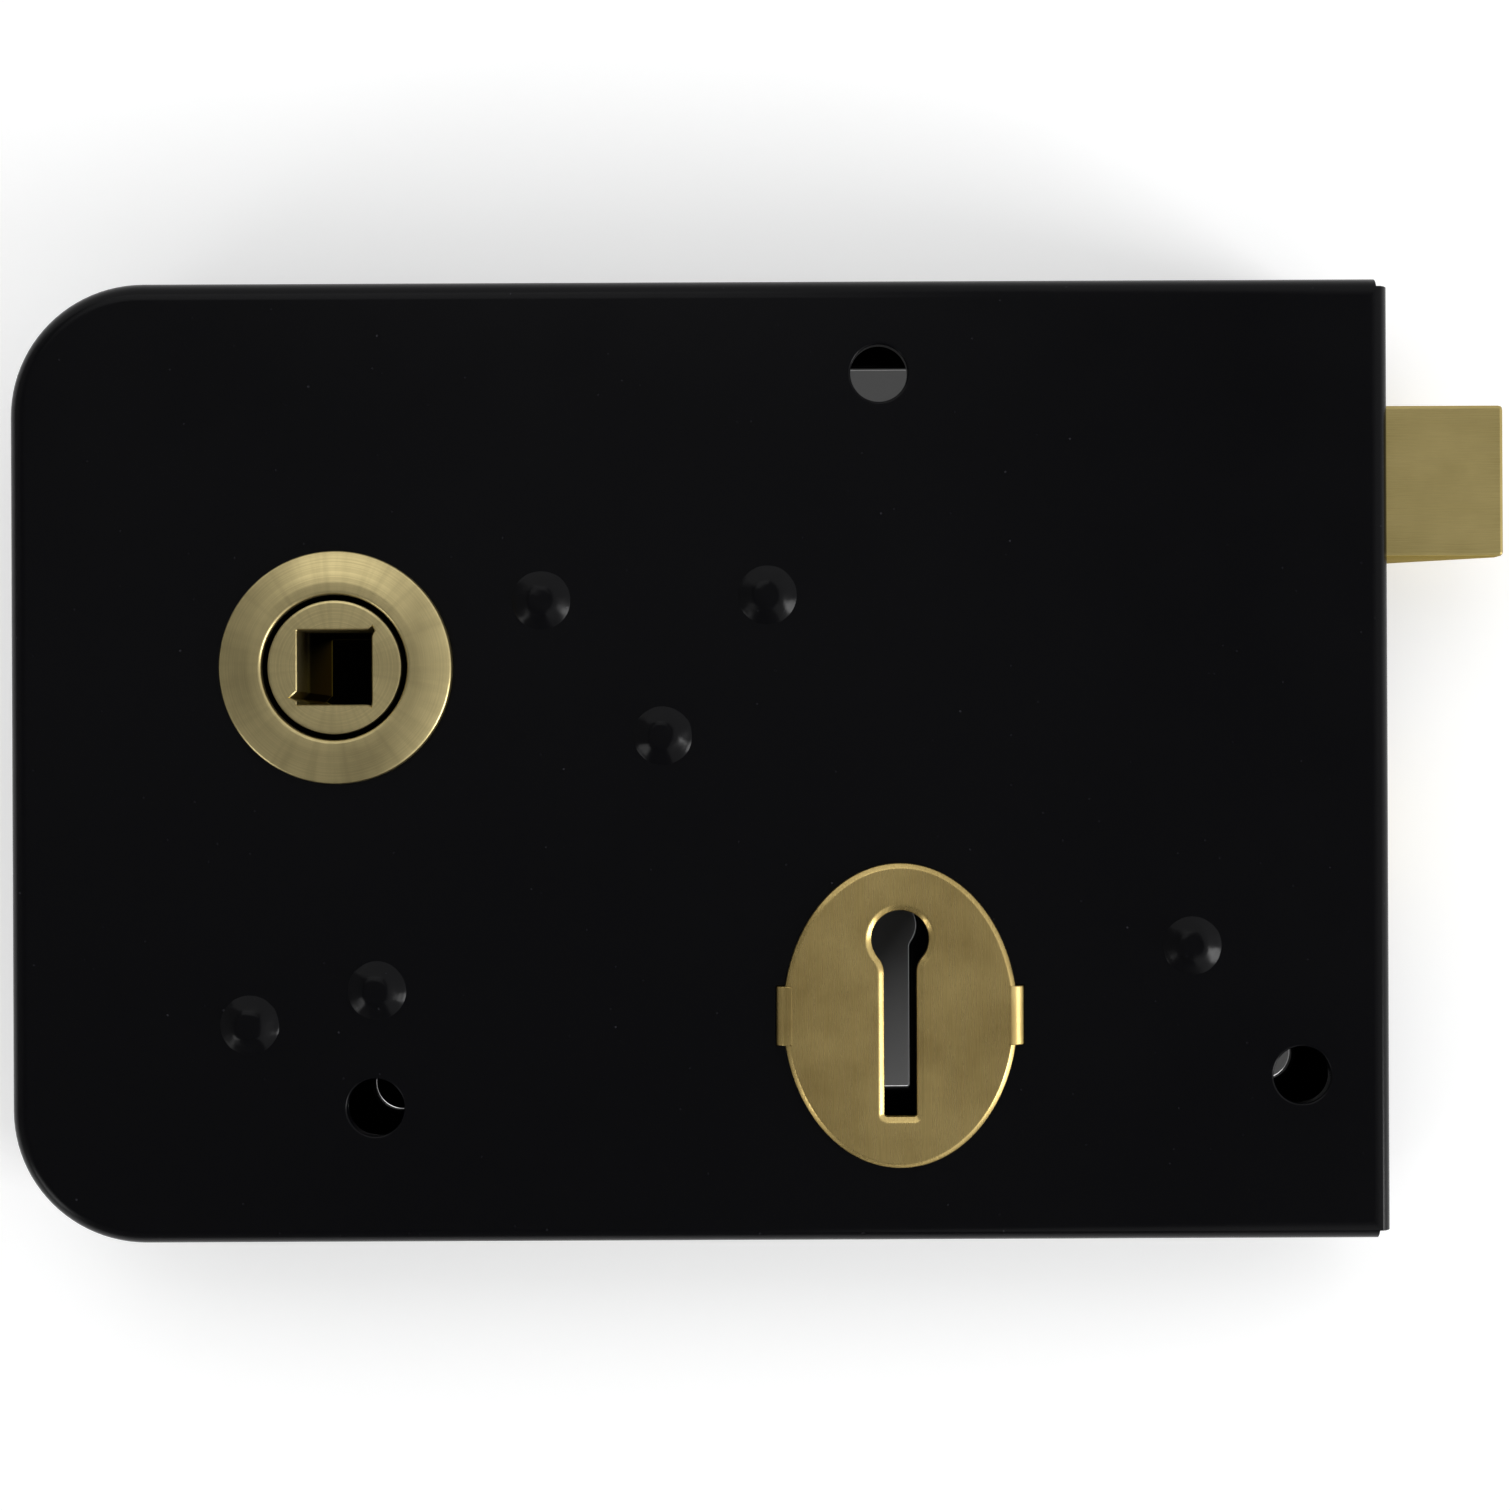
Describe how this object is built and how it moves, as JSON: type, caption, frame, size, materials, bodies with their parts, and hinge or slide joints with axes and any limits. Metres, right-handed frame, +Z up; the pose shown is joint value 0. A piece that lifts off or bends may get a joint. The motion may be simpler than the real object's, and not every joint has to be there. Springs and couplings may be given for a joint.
{
  "type": "rim box lock",
  "caption": "Surface-mounted door lock: black pressed steel box with a brass spindle bush, an oval brass key escutcheon, a sprung bevelled latch and a keyed dead bolt.",
  "frame": {"origin": "middle of the back of the lock, on the door's face", "axes": "+X along the face towards the bolts, +Z up, +Y into the door, so the face looks along -Y"},
  "size_m": [0.1635, 0.024, 0.1046],
  "materials": {
    "painted_steel": "satin black paint on pressed sheet steel",
    "turned_brass": "turned, with fine rings",
    "brushed_brass": "brushed upright",
    "bolt_brass": "drawn and lightly brushed",
    "zinc_steel": "zinc plated",
    "spring_steel": "drawn spring wire and strip"
  },
  "bodies": {
    "case": {"case_shell": "painted_steel", "cover_plate": "painted_steel", "cover_pillars": "painted_steel", "cover_screws": "zinc_steel", "guide_studs": "painted_steel", "lever_post": "painted_steel", "lever_spacers": "zinc_steel", "spindle_bush": "turned_brass", "key_escutcheon": "brushed_brass", "spring_stop": "zinc_steel"},
    "follower": {"follower": "turned_brass"},
    "latch": {"latch_head": "bolt_brass", "latch_tail": "zinc_steel", "latch_drive_pins": "zinc_steel", "latch_rivets": "zinc_steel", "latch_spring_rod": "zinc_steel", "latch_spring": "spring_steel"},
    "dead_bolt": {"dead_bolt_head": "bolt_brass", "dead_bolt_tail": "zinc_steel", "dead_bolt_rivets": "zinc_steel", "dead_bolt_stump": "zinc_steel"},
    "front_lever": {"front_lever": "zinc_steel", "front_lever_spring": "spring_steel"},
    "rear_lever": {"rear_lever": "zinc_steel", "rear_lever_spring": "spring_steel"}
  },
  "joints": [
    {"name": "spindle_turn", "type": "hinge", "parent": "case", "child": "follower", "pos_m": [-0.0393, 0, 0.0103], "axis": [0, -1, 0], "range_deg": [0, 49.8]},
    {"name": "latch_slide", "type": "slide", "parent": "case", "child": "latch", "axis": [-1, 0, 0], "range_m": [0, 0.013], "stiffness_N_per_m": 300, "springref_m": -0.01, "deforming": ["latch_spring"]},
    {"name": "dead_bolt_throw", "type": "slide", "parent": "case", "child": "dead_bolt", "axis": [1, 0, 0], "range_m": [0, 0.013]},
    {"name": "front_lever_lift", "type": "hinge", "parent": "case", "child": "front_lever", "pos_m": [-0.0351, 0, -0.0247], "axis": [0, -1, 0], "range_deg": [0, 5.2], "deforming": ["front_lever_spring"]},
    {"name": "rear_lever_lift", "type": "hinge", "parent": "case", "child": "rear_lever", "pos_m": [-0.0351, 0, -0.0247], "axis": [0, -1, 0], "range_deg": [0, 5.2], "deforming": ["rear_lever_spring"]}
  ],
  "couplings": [
    {"joint": "spindle_turn", "follows": "latch_slide", "rad_per_m": 66.863},
    {"joint": "front_lever_lift", "follows": "dead_bolt_throw", "rad_per_m": 6.98},
    {"joint": "rear_lever_lift", "follows": "dead_bolt_throw", "rad_per_m": 6.98}
  ]
}
